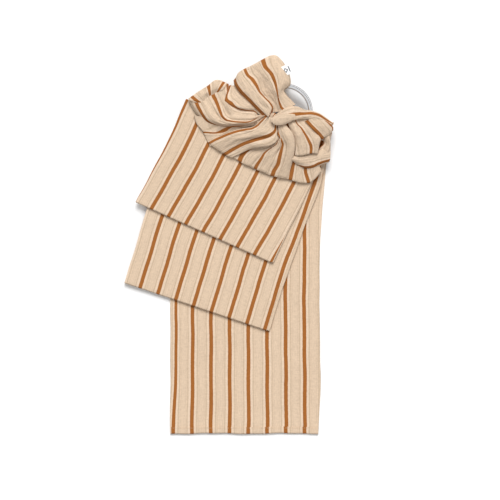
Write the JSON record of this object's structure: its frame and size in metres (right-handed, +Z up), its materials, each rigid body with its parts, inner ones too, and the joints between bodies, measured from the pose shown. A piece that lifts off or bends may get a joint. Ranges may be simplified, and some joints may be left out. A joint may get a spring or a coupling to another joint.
{
  "type": "ring sling",
  "caption": "Striped baby ring sling folded flat in a zigzag stack, its gathered shoulder drawn through two metal rings and spread as a fan of lobes over the stack.",
  "frame": {"origin": "centre of the bounding box at the surface that the folded sling lies on", "axes": "+Y from the tail's hem towards the shoulder, +X to the right seen from above with the shoulder away, +Z up from the surface"},
  "size_m": [0.335, 0.604, 0.0466],
  "materials": {
    "cloth": "woven linen and cotton, cream with rust orange stripes",
    "hem_cloth": "the same woven cloth, turned and pressed",
    "gathered_cloth": "the same woven cloth, pleated",
    "thread": "matt sewing thread",
    "ring_metal": "satin, seamless",
    "label_tape": "smooth woven tape",
    "label_thread": "fine sewing thread"
  },
  "bodies": {
    "base": {"tail_run": "cloth", "tail_end_hem": "hem_cloth", "tail_hem_stitching": "thread", "lower_return_run": "cloth", "lower_fold_turn": "cloth"},
    "lower_flap": {"lower_flap_run": "cloth", "upper_return_run": "cloth", "upper_fold_turn": "cloth"},
    "upper_flap": {"upper_flap_run": "cloth"},
    "shoulder": {"shoulder_base": "cloth", "ring_knot": "gathered_cloth", "top_lobe": "gathered_cloth", "corner_fold": "gathered_cloth", "left_upper_lobe": "gathered_cloth", "left_lower_lobe": "gathered_cloth", "left_fan": "gathered_cloth", "middle_fan": "gathered_cloth", "right_fan": "gathered_cloth", "right_lower_fold": "gathered_cloth", "right_bow": "gathered_cloth", "shoulder_seam_stitching": "thread"},
    "front_ring": {"front_ring": "ring_metal"},
    "back_ring": {"back_ring": "ring_metal"},
    "label": {"maker_label": "label_tape", "label_stitching": "label_thread"}
  },
  "joints": [
    {"name": "lower_flap_open", "type": "hinge", "parent": "base", "child": "lower_flap", "pos_m": [-0.16619, -0.05958, 0.00495], "axis": [0.9483, -0.3173, 0], "range_deg": [0, 70]},
    {"name": "upper_flap_open", "type": "hinge", "parent": "lower_flap", "child": "upper_flap", "pos_m": [-0.14796, 0.06933, 0.01005], "axis": [0.9135, -0.4067, 0], "range_deg": [0, 60]},
    {"name": "shoulder_lift", "type": "hinge", "parent": "upper_flap", "child": "shoulder", "pos_m": [0.0175, 0.127, 0.0126], "axis": [0.8957, -0.4446, 0], "range_deg": [0, 75]},
    {"name": "front_ring_spin", "type": "hinge", "parent": "shoulder", "child": "front_ring", "pos_m": [0.088, 0.211, 0.0273], "axis": [0, 0, 1], "continuous": true},
    {"name": "back_ring_spin", "type": "hinge", "parent": "shoulder", "child": "back_ring", "pos_m": [0.0895, 0.2125, 0.02], "axis": [0, 0, 1], "continuous": true},
    {"name": "label_flip", "type": "hinge", "parent": "shoulder", "child": "label", "pos_m": [0.0845, 0.2655, 0.0363], "axis": [0.4067, -0.9135, 0], "range_deg": [0, 90]}
  ]
}
